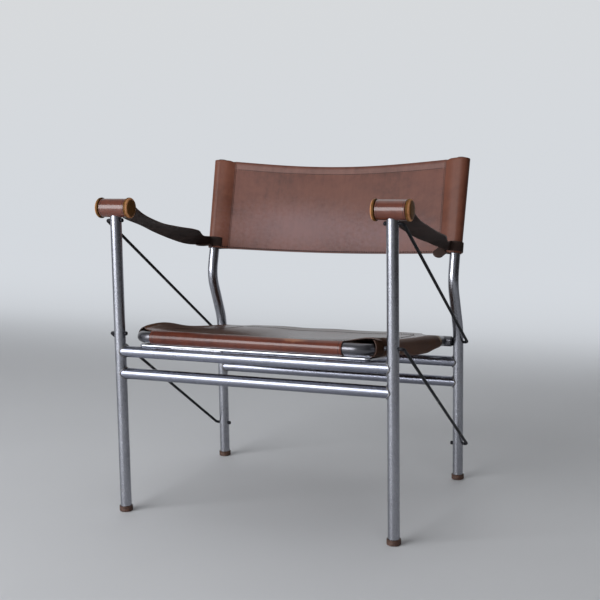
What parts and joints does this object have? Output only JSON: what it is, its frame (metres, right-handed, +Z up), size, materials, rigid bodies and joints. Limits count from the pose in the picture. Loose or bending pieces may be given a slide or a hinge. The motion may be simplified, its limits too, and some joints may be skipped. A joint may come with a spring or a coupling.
{
  "type": "folding campaign chair",
  "caption": "Folding steel tube armchair with sling seat and backrest, wire stays, turned grips and leather arm straps.",
  "frame": {"origin": "on the floor, under the middle of the chair's bounding box", "axes": "+X to the right seen from the front, -Y the way the sitter faces, +Z up"},
  "size_m": [0.635, 0.4963, 0.6886],
  "materials": {
    "steel_tube": "worn brushed steel with fine scratches",
    "bright_wire": "polished wire",
    "black_steel": "blackened steel, satin",
    "black_nylon": "moulded, matte",
    "foot_leather": "stacked leather tip",
    "seat_leather": "worn saddle leather, semi gloss",
    "back_leather": "worn saddle leather, satin",
    "strap_leather": "saddle leather, creased edges",
    "turned_wood": "varnished, worn at the rims"
  },
  "bodies": {
    "rear_frame": {"rear_post_left": "steel_tube", "rear_post_right": "steel_tube", "rear_rail_upper": "steel_tube", "rear_rail_lower": "steel_tube", "rear_foot_left": "foot_leather", "rear_foot_right": "foot_leather", "post_plug_left": "black_nylon", "post_plug_right": "black_nylon", "pivot_washer_left": "black_steel", "pivot_washer_right": "black_steel", "backrest_sling": "back_leather"},
    "upper_stays": {"upper_stay_left": "black_steel", "upper_stay_right": "black_steel", "upper_stay_cap_front_left": "black_steel", "upper_stay_cap_front_right": "black_steel"},
    "front_frame": {"front_leg_left": "steel_tube", "front_leg_right": "steel_tube", "front_rail_upper": "steel_tube", "front_rail_lower": "steel_tube", "grip_spool_left": "turned_wood", "grip_spool_right": "turned_wood", "grip_pin_left": "steel_tube", "grip_pin_right": "steel_tube", "front_foot_left": "foot_leather", "front_foot_right": "foot_leather", "arm_strap_left": "strap_leather", "arm_strap_right": "strap_leather"},
    "lower_stays": {"lower_stay_left": "black_steel", "lower_stay_right": "black_steel", "lower_stay_cap_front_left": "black_steel", "lower_stay_cap_front_right": "black_steel", "lower_stay_cap_rear_left": "black_steel", "lower_stay_cap_rear_right": "black_steel"},
    "seat": {"seat_frame_tube": "steel_tube", "seat_pivot_tube": "steel_tube", "seat_sling": "seat_leather", "seat_bail_wire": "bright_wire", "seat_bail_clip": "bright_wire", "pivot_bush_left": "black_nylon", "pivot_bush_right": "black_nylon"}
  },
  "joints": [
    {"name": "fold", "type": "hinge", "parent": "rear_frame", "child": "upper_stays", "pos_m": [0, 0.20885, 0.299], "axis": [-1, 0, 0], "range_deg": [0, 46], "deforming": ["arm_strap_left", "arm_strap_right"]},
    {"name": "front_frame_upright", "type": "hinge", "parent": "upper_stays", "child": "front_frame", "pos_m": [0, -0.22815, 0.5785], "axis": [-1, 0, 0], "range_deg": [-46, 0]},
    {"name": "lower_stay_swing", "type": "hinge", "parent": "rear_frame", "child": "lower_stays", "pos_m": [0, 0.20885, 0.0785], "axis": [-1, 0, 0], "range_deg": [0, 46]},
    {"name": "seat_lift", "type": "hinge", "parent": "rear_frame", "child": "seat", "pos_m": [0, 0.20885, 0.299], "axis": [-1, 0, 0], "range_deg": [0, 66.7]}
  ],
  "couplings": [
    {"joint": "front_frame_upright", "follows": "fold", "ratio": -1},
    {"joint": "lower_stay_swing", "follows": "fold", "ratio": 1},
    {"joint": "seat_lift", "follows": "fold", "ratio": 1.45}
  ]
}
